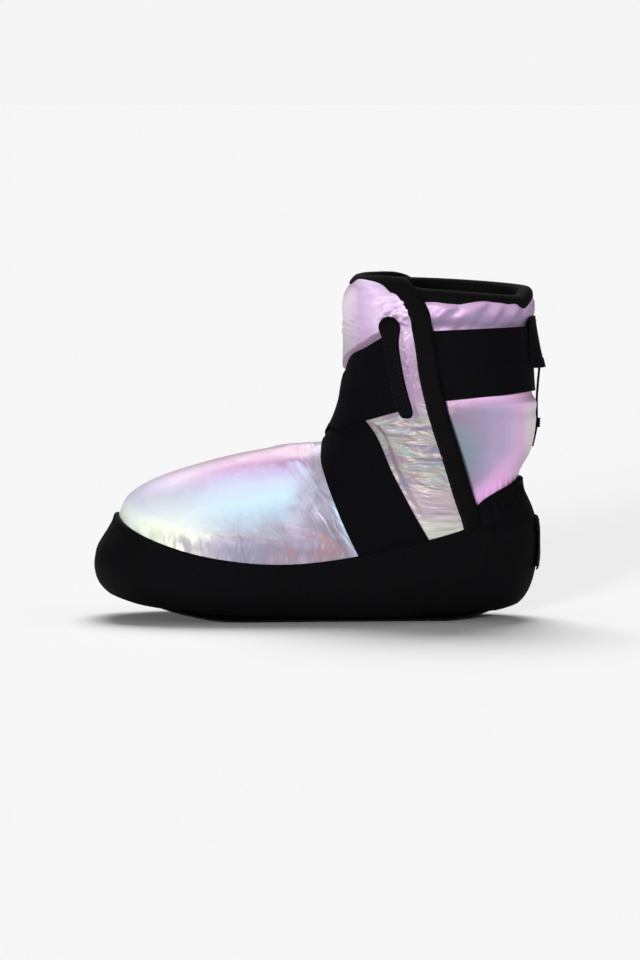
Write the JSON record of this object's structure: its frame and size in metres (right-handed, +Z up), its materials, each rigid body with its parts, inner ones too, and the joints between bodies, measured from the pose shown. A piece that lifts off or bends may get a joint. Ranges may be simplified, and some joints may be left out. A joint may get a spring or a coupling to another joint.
{
  "type": "dance warm-up boot",
  "caption": "Padded dance warm-up boot, left foot, with a shiny quilted upper, crossed elastic straps, a wrapped front flap, a black padded rand and a thin flexible sole.",
  "frame": {"origin": "centre of the boot's footprint on the floor it stands on", "axes": "+Z up, -X towards the toe, -Y towards the outer side of a left foot"},
  "size_m": [0.2841, 0.114, 0.2184],
  "materials": {
    "lilac_sheen_cloth": "quilted shiny cloth, lilac with pink and pale blue sheen",
    "black_padded_cloth": "matt black padded cloth",
    "black_elastic": "matt black woven elastic",
    "black_knit_tape": "matt black knitted tape",
    "black_sole_rubber": "thin matt black rubber",
    "black_insole_foam": "soft black foam with a brushed face",
    "black_label_cloth": "plain black woven label",
    "black_cord": "thin black round cord"
  },
  "bodies": {
    "root": {"upper": "lilac_sheen_cloth", "front_flap": "lilac_sheen_cloth", "rand": "black_padded_cloth", "instep_strap": "black_elastic", "ankle_strap": "black_elastic", "back_tab": "black_elastic", "collar_binding": "black_knit_tape", "flap_binding": "black_knit_tape", "slot_binding": "black_knit_tape", "outsole": "black_sole_rubber", "insole": "black_insole_foam", "heel_label": "black_label_cloth", "drawcord": "black_cord", "drawcord_knot": "black_cord", "drawcord_tail": "black_cord"}
  },
  "joints": []
}
